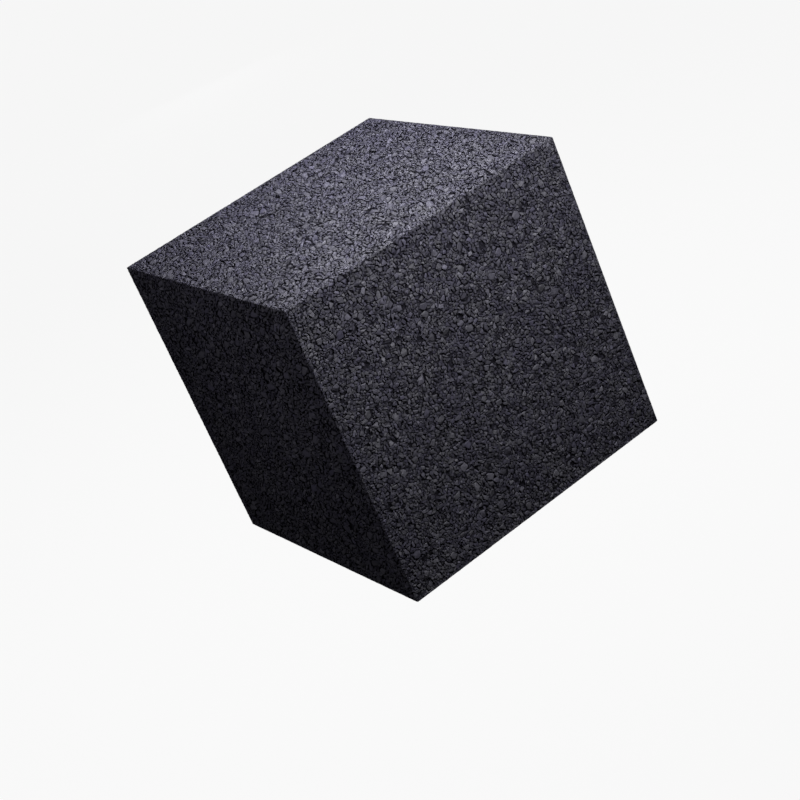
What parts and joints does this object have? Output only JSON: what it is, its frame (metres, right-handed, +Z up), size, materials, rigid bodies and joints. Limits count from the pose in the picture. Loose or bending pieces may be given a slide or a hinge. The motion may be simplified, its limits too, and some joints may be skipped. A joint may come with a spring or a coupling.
{
  "type": "charcoal cube",
  "caption": "Solid cube of pressed charcoal grit with flat granular faces and crisp edges, burned as a long-lasting glowing coal.",
  "frame": {"origin": "middle of the base face, the face that the cube stands on", "axes": "+Z up out of the top face, X along the width and Y along the depth, each square to a pair of side faces"},
  "size_m": [0.027, 0.027, 0.027],
  "materials": {
    "pressed_charcoal": "matt granular pressed charcoal, near-black with a faint violet tint"
  },
  "bodies": {
    "root": {"charcoal_cube": "pressed_charcoal"}
  },
  "joints": []
}
